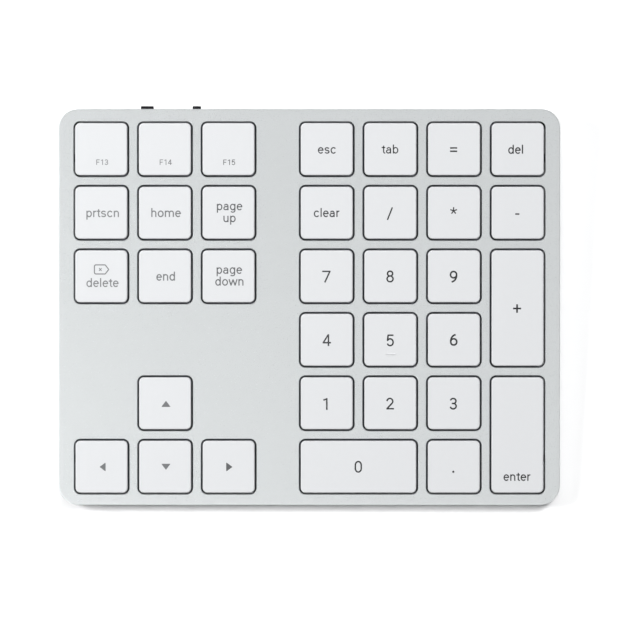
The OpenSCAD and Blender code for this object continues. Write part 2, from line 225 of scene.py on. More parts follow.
def profile(shell, loop, steps, place, turn, mat=0, skip=()):
    """Sweeps a profile round a loop. steps are (offset along the outward direction, height, normal outward, normal up)."""
    rings, normals = [], []
    for t, z, no, nz in steps:
        rings.append([place(p[0] + p[2] * t, p[1] + p[3] * t, z) for p in loop])
        normals.append([turn(p[2] * no, p[3] * no, nz) for p in loop])
    for a in range(len(rings) - 1):
        shell.band(rings[a], rings[a + 1], normals[a], normals[a + 1], mat, True, skip)


def arc_steps(t0, z0, r, a0, a1, n):
    """Steps of a round edge: its centre is at offset t0 and height z0; angles from straight up (0) to straight out (90)."""
    out = []
    for k in range(n + 1):
        a = math.radians(a0 + (a1 - a0) * k / n)
        out.append((t0 + r * math.sin(a), z0 + r * math.cos(a), math.sin(a), math.cos(a)))
    return out


def lathe(shell, steps, place, turn, n=48, mat=0, cap=None):
    """A turned piece: steps are (radius, height, normal outward, normal up)."""
    ring = [(math.cos(2 * math.pi * k / n), math.sin(2 * math.pi * k / n)) for k in range(n)]
    rings = [[place(c * r, s * r, z) for c, s in ring] for r, z, _, _ in steps]
    normals = [[turn(c * no, s * no, nz) for c, s in ring] for _, _, no, nz in steps]
    for a in range(len(rings) - 1):
        shell.band(rings[a], rings[a + 1], normals[a], normals[a + 1], mat)
    if cap in ("top", "both"):
        shell.face(rings[-1], turn(0, 0, 1), mat)
    if cap in ("bottom", "both"):
        shell.face(rings[0], turn(0, 0, -1), mat)


# ------------------------------------------------------------------ materials
def material(name, base, rough=0.5, metal=0.0, grain=None, bump=0.0, depth=1e-5, tone=0.0, tone_scale=60.0, rough_var=0.0, spec=None, coat=0.0, alpha=None, dark=None):
    """A finish from shader nodes: fine grain in the surface, a slow change of tone and a change of roughness with the grain."""
    m = bpy.data.materials.new(name)
    m.use_nodes = True
    t = m.node_tree
    b = t.nodes["Principled BSDF"]
    b.inputs["Base Color"].default_value = (*base, 1)
    b.inputs["Roughness"].default_value = rough
    b.inputs["Metallic"].default_value = metal
    if spec is not None:
        b.inputs["Specular IOR Level"].default_value = spec
    if coat:
        b.inputs["Coat Weight"].default_value = coat
        b.inputs["Coat Roughness"].default_value = 0.15
    where = t.nodes.new("ShaderNodeTexCoord")
    if grain:
        n = t.nodes.new("ShaderNodeTexNoise")
        n.inputs["Scale"].default_value = grain
        n.inputs["Detail"].default_value = 4.0
        n.inputs["Roughness"].default_value = 0.6
        t.links.new(where.outputs["Object"], n.inputs["Vector"])
        if bump:
            bp = t.nodes.new("ShaderNodeBump")
            bp.inputs["Strength"].default_value = bump
            bp.inputs["Distance"].default_value = depth
            t.links.new(n.outputs["Fac"], bp.inputs["Height"])
            t.links.new(bp.outputs["Normal"], b.inputs["Normal"])
        if rough_var:
            r = t.nodes.new("ShaderNodeMapRange")
            r.inputs["From Min"].default_value = 0.3
            r.inputs["From Max"].default_value = 0.7
            r.inputs["To Min"].default_value = rough - rough_var
            r.inputs["To Max"].default_value = rough + rough_var
            t.links.new(n.outputs["Fac"], r.inputs["Value"])
            t.links.new(r.outputs["Result"], b.inputs["Roughness"])
    if tone:
        slow = t.nodes.new("ShaderNodeTexNoise")
        slow.inputs["Scale"].default_value = tone_scale
        slow.inputs["Detail"].default_value = 2.0
        t.links.new(where.outputs["Object"], slow.inputs["Vector"])
        ramp = t.nodes.new("ShaderNodeValToRGB")
        ramp.color_ramp.elements[0].position = 0.3
        ramp.color_ramp.elements[1].position = 0.7
        ramp.color_ramp.elements[0].color = (*[c * (1 - tone) for c in base], 1)
        ramp.color_ramp.elements[1].color = (*[min(1.0, c * (1 + tone)) for c in base], 1)
        t.links.new(slow.outputs["Fac"], ramp.inputs["Fac"])
        t.links.new(ramp.outputs["Color"], b.inputs["Base Color"])
    return m


M = {
    "alu": material("anodised_aluminium", (0.865, 0.896, 0.902), 0.31, 1.0, grain=5200, bump=0.22, depth=1.2e-5, tone=0.006, tone_scale=900, rough_var=0.05),
    # inside of the housing: a dark copy of the aluminium, painted shade for the enclosed inner faces
    "alu_inner": material("aluminium_inside_painted_shade", (0.30, 0.31, 0.32), 0.6, 1.0, grain=2500, bump=0.1, tone=0.02, rough_var=0.05),
    "key": material("key_plastic", (0.625, 0.635, 0.648), 0.42, grain=9000, bump=0.12, depth=6e-6, tone=0.004, tone_scale=700, rough_var=0.05),
    # legend ink: one dark print in five tones, from palest (first) to darkest (last); the steps are painted light,
    # paler towards the left of the keypad where more light falls
    "ink_0": material("legend_ink_painted_light_tone0", (0.18, 0.185, 0.19), 0.5, grain=6000, tone=0.06, tone_scale=3000, rough_var=0.05),
    "ink_1": material("legend_ink_painted_light_tone1", (0.145, 0.15, 0.155), 0.5, grain=6000, tone=0.06, tone_scale=3000, rough_var=0.05),
    "ink_2": material("legend_ink_painted_light_tone2", (0.09, 0.092, 0.096), 0.5, grain=6000, tone=0.06, tone_scale=3000, rough_var=0.05),
    "ink_3": material("legend_ink_painted_light_tone3", (0.03, 0.031, 0.033), 0.5, grain=6000, tone=0.06, tone_scale=3000, rough_var=0.05),
    "ink_4": material("legend_ink_painted_light_tone4", (0.012, 0.0125, 0.0135), 0.5, grain=6000, tone=0.06, tone_scale=3000, rough_var=0.05),
    # membrane film: its dark tone is painted shade, standing in for the shade seen down in the gaps round the keys
    "film": material("membrane_film", (0.14, 0.147, 0.168), 0.45, grain=900, bump=0.05, tone=0.1, tone_scale=120, rough_var=0.08),
    "steel": material("sheet_steel", (0.42, 0.43, 0.44), 0.38, 1.0, grain=1800, bump=0.08, tone=0.03, tone_scale=90, rough_var=0.08),
    "pale": material("pale_plastic", (0.78, 0.78, 0.75), 0.45, grain=1500, bump=0.05, tone=0.02, rough_var=0.05),
    "dome": material("dome_rubber", (0.70, 0.69, 0.65), 0.5, grain=2000, bump=0.05, tone=0.03, rough_var=0.05),
    "wire": material("spring_wire", (0.60, 0.61, 0.63), 0.25, 1.0, grain=3000, bump=0.05, tone=0.03, rough_var=0.06),
    "board": material("board_laminate", (0.015, 0.09, 0.045), 0.35, grain=1400, bump=0.08, tone=0.12, tone_scale=300, rough_var=0.06),
    "chip": material("chip_plastic", (0.045, 0.045, 0.05), 0.45, grain=3000, bump=0.1, tone=0.08, rough_var=0.06),
    "nickel": material("plated_steel", (0.62, 0.63, 0.64), 0.22, 1.0, grain=2500, bump=0.05, tone=0.03, tone_scale=500, rough_var=0.05),
    "gold": material("gold_plate", (0.83, 0.60, 0.25), 0.25, 1.0, grain=2500, bump=0.03, tone=0.03, rough_var=0.04),
    "black": material("black_plastic", (0.01, 0.01, 0.0115), 0.30, spec=0.22, grain=7000, bump=0.1, depth=6e-6, tone=0.1, tone_scale=400, rough_var=0.06),
    "foil": material("cell_foil", (0.55, 0.56, 0.57), 0.3, 1.0, grain=600, bump=0.15, depth=4e-5, tone=0.04, rough_var=0.08),
    "lead": material("lead_sleeve", (0.35, 0.03, 0.025), 0.4, grain=2500, bump=0.05, tone=0.05, rough_var=0.05),
    "pipe": material("light_pipe", (0.72, 0.74, 0.74), 0.25, grain=2500, tone=0.03, rough_var=0.04),
    "rubber": material("foot_rubber", (0.03, 0.03, 0.032), 0.65, grain=3500, bump=0.25, depth=2e-5, tone=0.1, tone_scale=300, rough_var=0.08),
}
FINISH = {
    "bottom_cover": "alu", "support_plate": "steel", "membrane_sheet": "film", "membrane_connector": "pale",
    "rubber_domes": "dome", "scissor_outer_frames": "pale", "scissor_inner_frames": "pale",
    "stabiliser_wire_plus": "wire", "stabiliser_wire_enter": "wire", "stabiliser_wire_0": "wire",
    "circuit_board": "board", "board_chips": "chip", "usb_c_shell": "nickel", "usb_c_tongue": "black",
    "power_switch_body": "chip", "power_switch_knob": "black", "pairing_switch_body": "chip", "pairing_button": "black",
    "battery_cell": "foil", "battery_lead": "lead", "status_light_pipe": "pipe", "rubber_feet": "rubber",
    "cover_screws": "nickel", "plate_screws": "nickel", "board_screws": "nickel", "top_case": "alu",
}
for name, node in NODES.items():
    node.data.materials.clear()
    node.data.materials.append(M[FINISH.get(name, "key")])

# ------------------------------------------------------------------ housing
EDGE = 0.30   # round edge where the deck meets the walls
LIP = 0.17    # round edge of each opening
FOOT_CH = 0.25


def deck_z_at(y):
    return DECK_Z + (y - BODY_Y) * T3


def make_housing():
    s = Shell()
    outer = loop_round(0, BODY_Y, BODY_W, BODY_D, CORNER, 20)
    back = 20  # the segment that follows the back right corner is the straight back wall
    # the round upper edge follows the slope of the deck, so its rings are placed point by point
    rings, normals = [], []
    for k in range(7):
        a = math.radians(90 * k / 6)
        t, dz = -EDGE * (1 - math.sin(a)), -EDGE * (1 - math.cos(a))
        ring, nn = [], []
        for x, y, nx, ny in outer:
            px, py = x + nx * t, y + ny * t
            ring.append((px, py, deck_z_at(py) + dz))
            nn.append((nx * math.sin(a) + UP[0] * math.cos(a), ny * math.sin(a) + UP[1] * math.cos(a), UP[2] * math.cos(a)))
        rings.append(ring)
        normals.append(nn)
    for a in range(6):
        s.band(rings[a], rings[a + 1], normals[a], normals[a + 1])
    # walls down to the small lower chamfer, the rim, and the inside
    side = [(p[2], p[3], 0) for p in outer]
    foot = [(p[0], p[1], FOOT_H + FOOT_CH) for p in outer]
    s.band(rings[-1], foot, side, side, 0, True, (back,))
    lower = []
    for k in range(4):
        a = math.radians(90 * k / 3)
        lower.append(([(p[0] + p[2] * -FOOT_CH * (1 - math.cos(a)), p[1] + p[3] * -FOOT_CH * (1 - math.cos(a)), FOOT_H + FOOT_CH * (1 - math.sin(a))) for p in outer],
                      [(p[2] * math.cos(a), p[3] * math.cos(a), -math.sin(a)) for p in outer]))
    for a in range(3):
        s.band(lower[a][0], lower[a + 1][0], lower[a][1], lower[a + 1][1])
    inner = loop_round(0, BODY_Y, BODY_W - 2 * WALL, BODY_D - 2 * WALL, CORNER - WALL, 20)
    down = [(0, 0, -1)] * len(outer)
    rim = [(p[0], p[1], FOOT_H) for p in inner]
    s.band(lower[-1][0], rim, down, down)
    under = [(p[0], p[1], deck_z_at(p[1]) - DECK_T / C3) for p in inner]
    inside = [(-p[2], -p[3], 0) for p in inner]
    s.band(rim, under, inside, inside, 1, True, (back,))
    # the deck, with its openings
    openings = [loop_round(k[1], k[2], CAP_W + 2 * CAP_GAP + k[3], CAP_W + 2 * CAP_GAP + k[4], CAP_R + CAP_GAP, 12) for k in KEYS]
    edge2d = [(p[0], (p[1] - BODY_Y) / C3) for p in rings[0]]
    s.sheet(edge2d, [moved(o, LIP) for o in openings], lambda x, y: deck(x, y, 0), UP)
    for o in openings:
        steps = [(LIP * (1 - math.sin(math.radians(a))), -LIP * (1 - math.cos(math.radians(a))), -math.sin(math.radians(a)), math.cos(math.radians(a))) for a in (0, 22.5, 45, 67.5, 90)]
        profile(s, o, steps + [(0, -DECK_T, -1, 0)], deck, deck_dir)
    under2d = [(p[0], (p[1] - BODY_Y + -DECK_T * S3) / C3) for p in under]
    s.sheet(under2d, [moved(o, 0) for o in openings], lambda x, y: deck(x, y, -DECK_T), tuple(-c for c in UP), 1)
    # the back wall, with the inlet, the switch's slot, the button's hole and the light pipe's hole
    holes = [(loop_stadium(PORT_X, PORT_Z, PORT_W + 0.2, PORT_H + 0.2, 16), 0.22),
             (loop_round(KNOB_X + KNOB_TRAVEL / 2, PORT_Z, KNOB_W + KNOB_TRAVEL + 0.3, 2.0, 0.55, 10), 0.18),
             (loop_circle(BUTTON_X, PORT_Z, BUTTON_D / 2 + 0.1, 48), 0.12),
             (loop_circle(LED_X, PORT_Z, 0.65, 32), 0.06)]
    a, b = outer[back], outer[back + 1]
    top = rings[-1][back][2]
    s.sheet([(a[0], foot[back][2]), (a[0], top), (b[0], top), (b[0], foot[back][2])], [moved(h, c) for h, c in holes], lambda x, z: (x, Y_BACK, z), (0, 1, 0))
    a, b = inner[back], inner[back + 1]
    top = under[back][2]
    s.sheet([(a[0], FOOT_H), (a[0], top), (b[0], top), (b[0], FOOT_H)], [moved(h, 0) for h, c in holes], lambda x, z: (x, Y_BACK - WALL, z), (0, -1, 0), 1)
    for h, c in holes:
        steps = [(c * (1 - math.sin(math.radians(g))), -c * (1 - math.cos(math.radians(g))), -math.sin(math.radians(g)), math.cos(math.radians(g))) for g in (0, 22.5, 45, 67.5, 90)]
        profile(s, h, steps + [(0, -WALL, -1, 0)], lambda x, z, d: (x, Y_BACK + d, z), lambda x, z, d: (x, d, z))
    ob = s.object("housing_shell", M["alu"], M["alu_inner"])
    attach(ob, "housing")
    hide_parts("top_case")


make_housing()


def make_cover():
    """The bottom cover, with countersunk holes and shallow seats for the feet."""
    s = Shell()
    out = loop_round(0, BODY_Y, BODY_W - 2 * WALL - 0.24, BODY_D - 2 * WALL - 0.24, CORNER - WALL - 0.12, 16)
    r = 0.15
    steps = [(-r + r * math.sin(math.radians(a)), FOOT_H + r - r * math.cos(math.radians(a)), math.sin(math.radians(a)), -math.cos(math.radians(a))) for a in (0, 22.5, 45, 67.5, 90)]
    profile(s, out, steps + [(0, COVER_TOP, 1, 0)], flat, flat)
    sinks = [loop_circle(x, y, 1.23, 32) for x, y in COVER_SCREWS]
    seats = [loop_circle(x, y, FOOT_D / 2 + 0.05, 56) for x, y in FEET]
    s.sheet(moved(out, -r), [moved(h, 0) for h in sinks + seats], lambda x, y: (x, y, FOOT_H), (0, 0, -1))
    s.sheet(moved(out, 0), [moved(h, -0.58) for h in sinks], lambda x, y: (x, y, COVER_TOP), (0, 0, 1), 1)
    for h in sinks:
        profile(s, h, [(0, FOOT_H, -0.72, -0.69), (-0.58, FOOT_H + 0.61, -0.72, -0.69)], flat, flat)
        profile(s, h, [(-0.58, FOOT_H + 0.61, -1, 0), (-0.58, COVER_TOP, -1, 0)], flat, flat)
    for h in seats:
        profile(s, h, [(0, FOOT_H, -1, 0), (0, FOOT_H + 0.3, -1, 0)], flat, flat)
        s.face([(p[0], p[1], FOOT_H + 0.3) for p in h], (0, 0, -1))
    ob = s.object("bottom_cover_sheet", M["alu"], M["alu_inner"])
    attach(ob, "housing")
    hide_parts("bottom_cover")


make_cover()


def make_feet():
    for i, (x, y) in enumerate(FEET):
        s = Shell()
        r = FOOT_D / 2
        steps = [(0.9, 0.0, 0, -1), (r - 0.75, 0.0, 0, -1)]
        steps += [(r - 0.35 * 1 - 0.05 + 0.35 * math.sin(math.radians(a)), 0.35 - 0.35 * math.cos(math.radians(a)), math.sin(math.radians(a)), -math.cos(math.radians(a))) for a in (0, 18, 36, 54, 72, 90)]
        steps += [(r, 0.55, 1, 0), (r, FOOT_H + 0.29, 1, 0)]
        place = lambda px, py, pz: (x + px, y + py, pz)
        lathe(s, steps, place, flat, 56)
        # a shallow dimple in the middle
        lathe(s, [(0.9, 0.0, 0.5, -0.8), (0.6, 0.16, 0.3, -0.9), (0.2, 0.22, 0, -1)], place, flat, 56)
        s.face([place(0.2 * math.cos(2 * math.pi * k / 56), 0.2 * math.sin(2 * math.pi * k / 56), 0.22) for k in range(56)], (0, 0, -1))
        s.face([place(r * math.cos(2 * math.pi * k / 56), r * math.sin(2 * math.pi * k / 56), FOOT_H + 0.29) for k in range(56)], (0, 0, 1))
        ob = s.object("foot_%d" % i, M["rubber"])
        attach(ob, "housing")
        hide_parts("rubber_feet")


make_feet()


# ------------------------------------------------------------------ keys
KEY_EDGE = 0.32


def make_keycap(k):
    name, kx, ky, ew, ed, col = k
    w, d = CAP_W + ew, CAP_W + ed
    s = Shell()
    out = loop_round(kx, ky, w, d, CAP_R, 12)
    steps = arc_steps(-KEY_EDGE, CAP_UP - KEY_EDGE, KEY_EDGE, 0, 90, 6)
    profile(s, out, steps + [(0, CAP_LOW + 0.12, 1, 0), (-0.04, CAP_LOW + 0.03, 0.7, -0.7), (-0.12, CAP_LOW, 0, -1), (-1.0, CAP_LOW, 0, -1)], deck, deck_dir)
    s.face([deck(x, y, CAP_UP) for x, y in moved(out, -KEY_EDGE)], UP)
    inner = loop_round(kx, ky, w - 2.0, d - 2.0, CAP_R - 0.6, 12)
    low = [deck(x, y, CAP_LOW) for x, y in moved(out, -1.0)]
    # the inner wall starts from the same number of points as the outer one
    rim = [deck(p[0], p[1], CAP_LOW) for p in inner]
    dn = [tuple(-c for c in UP)] * len(rim)
    s.band(low, rim, dn, dn)
    hi = [deck(p[0], p[1], CAP_UP - 0.9) for p in inner]
    wall = [deck_dir(-p[2], -p[3], 0) for p in inner]
    s.band(rim, hi, wall, wall)
    s.face(hi, tuple(-c for c in UP))
    ob = s.object("cap_" + name, M["key"])
    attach(ob, "key_" + name)
    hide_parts("keycap_" + name)


for k in KEYS:
    make_keycap(k)

# ------------------------------------------------------------------ legends: single-line letters of even stroke
STEM = 20.5


def arc(cx, cy, rx, ry, a0, a1, n=None):
    n = n or max(4, int(abs(a1 - a0) / 12))
    return [(cx + rx * math.cos(math.radians(a0 + (a1 - a0) * k / n)), cy + ry * math.sin(math.radians(a0 + (a1 - a0) * k / n))) for k in range(n + 1)]


GLYPHS = {  # advance, strokes; 204.8 units to the em, small letters 108 high
    "a": (111, [[(86, 0)] + arc(55, 68, 31, 31, 0, 158), [(86, 61), (50, 61)] + arc(47, 35, 29, 26, 90, 270)[1:] + arc(48, 43, 38, 34, 272, 338)]),
    "b": (115, [[(23, 0), (23, 152)], arc(60, 54, 37, 46.5, 0, 360)]),
    "c": (107, [arc(57, 54, 39.5, 46.5, 38, 322)]),
    "d": (115.5, [[(92, 0), (92, 152)], arc(55, 54, 37, 46.5, 0, 360)]),
    "e": (108.5, [[(18, 58), (93, 58)] + arc(56, 54, 38.5, 46.5, 6, 320)]),
    "g": (115, [[(92, 108), (92, -4)] + arc(56, -4, 36, 29, 0, -145), arc(55, 54, 37, 46.5, 0, 360)]),
    "h": (112.8, [[(23, 0), (23, 152)], arc(56.5, 66, 33.5, 34, 180, 0) + [(90, 0)]]),
    "l": (49.7, [[(24.8, 0), (24.8, 152)]]),
    "m": (179.5, [[(23, 0), (23, 108)], arc(56, 67, 33, 33, 180, 0) + [(89, 0)], arc(122.5, 67, 33.5, 33, 180, 0) + [(156, 0)]]),
    "n": (113, [[(23, 0), (23, 108)], arc(56.5, 66, 33.5, 34, 180, 0) + [(90, 0)]]),
    "o": (116.8, [arc(58.4, 54, 40.5, 46.5, 0, 360)]),
    "p": (115, [[(23, -42), (23, 108)], arc(60, 54, 37, 46.5, 0, 360)]),
    "r": (69.3, [[(23, 0), (23, 108)], arc(59, 63, 36, 36, 180, 82)]),
    "s": (105.7, [arc(53, 77, 32, 22.5, 25, 270) + arc(53, 31.5, 33, 23, 90, -158)[1:]]),
    "t": (66.9, [[(36, 134), (36, 30)] + arc(56, 28, 20, 19.5, 180, 285)[1:], [(3, 100), (63, 100)]]),
    "u": (112.9, [[(22, 108)] + arc(55.5, 42, 33.5, 34, 180, 360) + [(89, 108)], [(89, 42), (89, 0)]]),
    "w": (153.8, [[(9, 108), (43, 7), (77, 100), (111, 7), (145, 108)]]),
    "F": (113.2, [[(25, 0), (25, 146)], [(25, 137), (104, 137)], [(25, 73), (94, 73)]]),
    "0": (115, [[(93.5, 54), (93.5, 92)] + arc(57, 92, 36.5, 46, 0, 180) + [(20.5, 54)] + arc(57, 54, 36.5, 46, 180, 360)]),
    "1": (115, [[(70.5, 0), (70.5, 146)], [(28, 120), (70, 136)]]),
    "2": (115, [arc(57, 101, 35.5, 36, 178, -32) + [(24, 12)], [(13, 9), (107, 9)]]),
    "3": (115, [arc(55, 106, 34, 31.5, 165, -90), arc(55, 42.5, 37, 34, 90, -165), [(38, 75.5), (56, 75.5)]]),
    "4": (115, [[(78, 0), (78, 146)], [(76, 140), (14, 42), (109, 42)]]),
    "5": (115, [[(99, 137), (33, 137), (26, 73)] + arc(58, 50, 37, 42, 142, -158)]),
    "6": (115, [arc(58, 47, 37.5, 39, 0, 360), arc(89, 54, 68.5, 83, 96, 178)]),
    "7": (115, [[(9, 137), (104, 137), (41, 0)]]),
    "8": (115, [arc(57, 108.5, 32, 29.5, 0, 360), arc(57, 43.5, 37, 35.5, 0, 360)]),
    "9": (115, [arc(57, 99, 37.5, 39, 0, 360), arc(26, 92, 68.5, 83, -84, -2)]),
    " ": (50, []),
}


def ribbons(paths, w):
    """Outlines, each a convex polygon, that together cover strokes of width w with square ends and round joins."""
    out = []
    for path in paths:
        closed = len(path) > 3 and abs(path[0][0] - path[-1][0]) < 1e-6 and abs(path[0][1] - path[-1][1]) < 1e-6
        for a, b in zip(path, path[1:]):
            dx, dy = b[0] - a[0], b[1] - a[1]
            n = math.hypot(dx, dy)
            if n < 1e-9:
                continue
            nx, ny = -dy / n * w / 2, dx / n * w / 2
            out.append([(a[0] - nx, a[1] - ny), (b[0] - nx, b[1] - ny), (b[0] + nx, b[1] + ny), (a[0] + nx, a[1] + ny)])
        for p in path[1:-1] + ([path[0]] if closed else []):
            out.append([(p[0] + w / 2 * math.cos(math.radians(g)), p[1] + w / 2 * math.sin(math.radians(g))) for g in range(0, 360, 24)])
    return out


def word(text, em, stem=STEM):
    """Outlines of a word in millimetres, its baseline at y = 0 and its ink centred on x = 0."""
    u = em / 204.8
    x, polys = 0.0, []
    for ch in text:
        adv, strokes = GLYPHS[ch]
        polys += [[((px + x) * u, py * u) for px, py in poly] for poly in ribbons(strokes, stem)]
        x += adv
    lo = min(p[0] for poly in polys for p in poly)
    hi = max(p[0] for poly in polys for p in poly)
    return [[(p[0] - (lo + hi) / 2, p[1]) for p in poly] for poly in polys]


def put(polys, dx, dy):
    return [[(p[0] + dx, p[1] + dy) for p in poly] for poly in polys]


def print_on(shell, polys, place, normal, mat=0):
    """The union of overlapping outlines as one flat mesh."""
    pts, loops = [], []
    for poly in polys:
        start = len(pts)
        pts += [Vector(p) for p in poly]
        loops.append(list(range(start, len(pts))))
    out = delaunay_2d_cdt(pts, [], loops, 0, 1e-6, True)
    for tri, src in zip(out[2], out[5]):
        if len(src):
            shell.face([place(out[0][i].x, out[0][i].y) for i in tri], normal, mat)


PX = 0.2989  # millimetres on a key for one step of the layout sheet
EM, EM_NUM, EM_F = 12.1 * PX, 16.6 * PX, 7.65 * PX


def bar(x0, x1, y0, y1):
    return [[(x0, y0), (x1, y0), (x1, y1), (x0, y1)]]


def soft_triangle(pts, r):
    """A triangle with slightly rounded corners, as one outline for each side strip, corner and middle."""
    out = [list(pts)]
    for p in pts:
        out.append([(p[0] + r * math.cos(math.radians(g)), p[1] + r * math.sin(math.radians(g))) for g in range(0, 360, 24)])
    for a, b in zip(pts, pts[1:] + pts[:1]):
        dx, dy = b[0] - a[0], b[1] - a[1]
        n = math.hypot(dx, dy)
        nx, ny = -dy / n * r, dx / n * r
        out.append([(a[0] - nx, a[1] - ny), (b[0] - nx, b[1] - ny), (b[0] + nx, b[1] + ny), (a[0] + nx, a[1] + ny)])
    return out


def px(points):
    return [(p[0] * PX, p[1] * PX) for p in points]


LEGENDS = {
    "f13": put(word("F13", EM_F, 20.0), 1.0 * PX, -15.6 * PX), "f14": put(word("F14", EM_F, 19.0), 0.9 * PX, -15.6 * PX), "f15": put(word("F15", EM_F, 19.0), 0.7 * PX, -15.7 * PX),
    "print_screen": put(word("prtscn", EM), 1.4 * PX, -4.2 * PX), "home": put(word("home", EM), 1.2 * PX, -4.1 * PX),
    "page_up": put(word("page", EM, 19.2), 1.1 * PX, 2.7 * PX) + put(word("up", EM, 19.2), 1.0 * PX, -9.2 * PX),
    "delete": put(word("delete", EM, 20.0), 1.2 * PX, -10.5 * PX)
    + ribbons([px(arc(-5.4, 10.0, 1.5, 1.6, 90, 180, 4) + arc(-5.4, 4.1, 1.5, 1.6, 180, 270, 4) + arc(3.3, 3.4, 1.1, 0.9, 270, 320, 3) + arc(6.6, 7.05, 0.6, 0.7, -40, 40, 3) + arc(3.3, 10.7, 1.1, 0.9, 40, 90, 3) + [(-5.4, 11.6)])], 1.12 * PX)
    + ribbons([px([(-2.3, 8.4), (0.3, 5.7)]), px([(0.3, 8.4), (-2.3, 5.7)])], 0.85 * PX),
    "end": put(word("end", EM), 0.7 * PX, -4.1 * PX),
    "page_down": put(word("page", EM, 18.8), 0.8 * PX, 2.7 * PX) + put(word("down", EM, 18.8), 0.8 * PX, -9.1 * PX),
    "arrow_up": soft_triangle(px([(-3.1, -3.1), (4.9, -3.1), (0.9, 2.2)]), 0.35 * PX),
    "arrow_left": soft_triangle(px([(-1.4, 0.0), (3.7, -3.9), (3.7, 3.8)]), 0.35 * PX),
    "arrow_down": soft_triangle(px([(-3.1, 2.8), (0.8, -2.4), (4.7, 2.8)]), 0.35 * PX),
    "arrow_right": soft_triangle(px([(-2.1, 3.9), (-2.1, -3.9), (3.2, 0.0)]), 0.38 * PX),
    "escape": put(word("esc", EM), 0.1 * PX, -4.3 * PX), "tab": put(word("tab", EM, 19.0), -0.4 * PX, -4.2 * PX),
    "equals": bar(-4.0 * PX, 3.1 * PX, 0.6 * PX, 2.1 * PX) + bar(-4.0 * PX, 3.1 * PX, -2.7 * PX, -1.2 * PX),
    "del": put(word("del", EM, 21.5), -2.1 * PX, -4.4 * PX),
    "clear": put(word("clear", EM, 20.0), -0.1 * PX, -4.1 * PX),
    "divide": ribbons([px([(-2.95, -6.9), (2.0, 5.6)])], 1.35 * PX),
    "multiply": ribbons([px([(-0.45, 2.2), (-0.45 + 3.6 * math.sin(math.radians(g)), 2.2 + 3.6 * math.cos(math.radians(g)))]) for g in (0, 72, 144, 216, 288)], 1.2 * PX),
    "minus": bar(-2.5 * PX, 1.7 * PX, -1.85 * PX, -0.4 * PX),
    "plus": bar(-4.5 * PX, 3.5 * PX, -1.1 * PX, 0.6 * PX) + bar(-1.35 * PX, 0.35 * PX, -4.6 * PX, 4.0 * PX),
    "enter": put(word("enter", EM), -0.4 * PX, -45.7 * PX),
    "decimal": [[(-0.55 * PX + 1.08 * PX * math.cos(math.radians(g)), -4.85 * PX + 1.08 * PX * math.sin(math.radians(g))) for g in range(0, 360, 15)]],
    "0": put(word("0", EM_NUM, 18.6), -0.2 * PX, -5.8 * PX),
}
for n, dx, dy, stem in (("7", -0.35, -6.0, 18), ("8", -0.3, -5.9, 18.8), ("9", -0.45, -6.2, 20.5), ("4", 0.0, -6.1, 18.3), ("5", -0.05, -6.3, 18.3), ("6", -0.2, -5.7, 21), ("1", -1.4, -6.4, 19), ("2", -0.2, -6.0, 18.2), ("3", -0.6, -6.1, 19)):
    LEGENDS[n] = put(word(n, EM_NUM, stem), dx * PX, dy * PX)
# painted light: the legend's ink tone goes by column, paler on the left where more light falls and darker on the right
INK = {0: "ink_0", 1: "ink_1", 2: "ink_2", 3: "ink_3", 4: "ink_4", 5: "ink_4", 6: "ink_4"}
for k in KEYS:
    name, kx, ky, ew, ed, col = k
    s = Shell()
    print_on(s, LEGENDS[name], lambda x, y: deck(kx + x, ky + y, CAP_UP + 0.006), UP)
    # the arrows take painted-light tones of the ink of their own, the right arrow darker
    ob = s.object("legend_" + name, M["ink_2" if name == "arrow_right" else "ink_1" if name.startswith("arrow") else INK[col]])
    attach(ob, "key_" + name)


def make_homing_bar():
    s = Shell()
    k = [q for q in KEYS if q[0] == "5"][0]
    cx, cy = k[1] + 0.05, k[2] - 14.2 * PX
    out = loop_stadium(cx, cy, 3.0, 0.42, 8)
    profile(s, out, [(0, CAP_UP - 0.01, 1, 0.2), (-0.03, CAP_UP + 0.1, 0.9, 0.4), (-0.09, CAP_UP + 0.18, 0.6, 0.8), (-0.16, CAP_UP + 0.2, 0.1, 1)], deck, deck_dir)
    s.face([deck(x, y, CAP_UP + 0.2) for x, y in moved(out, -0.16)], UP)
    ob = s.object("homing_bar", M["key"])
    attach(ob, "key_5")


make_homing_bar()


# ------------------------------------------------------------------ key mechanism, one set under each key
LEV_TILT = math.radians(12)
MEM_TOP = -2.5
LEV_Z = (CAP_UP - 0.9 + MEM_TOP) / 2


def frame_mesh(s, w, d, bar_w, t, tilt, place, mat):
    out = loop_round(0, 0, w, d, 0.6, 4)
    inn = loop_round(0, 0, w - 2 * bar_w, d - 2 * bar_w, 0.4, 4)

    def at(x, y, z):
        return place(x, y * math.cos(tilt) - z * math.sin(tilt), LEV_Z + y * math.sin(tilt) + z * math.cos(tilt))

    def to(x, y, z):
        return place(x, y * math.cos(tilt) - z * math.sin(tilt), y * math.sin(tilt) + z * math.cos(tilt), True)

    profile(s, out, [(0, -t / 2, 1, 0), (0, t / 2, 1, 0)], at, to, mat)
    profile(s, inn, [(0, -t / 2, -1, 0), (0, t / 2, -1, 0)], at, to, mat)
    for z, n in ((t / 2, 1), (-t / 2, -1)):
        a, b = [at(p[0], p[1], z) for p in out], [at(p[0], p[1], z) for p in inn]
        nn = [to(0, 0, n)] * len(a)
        s.band(a, b, nn, nn, mat)


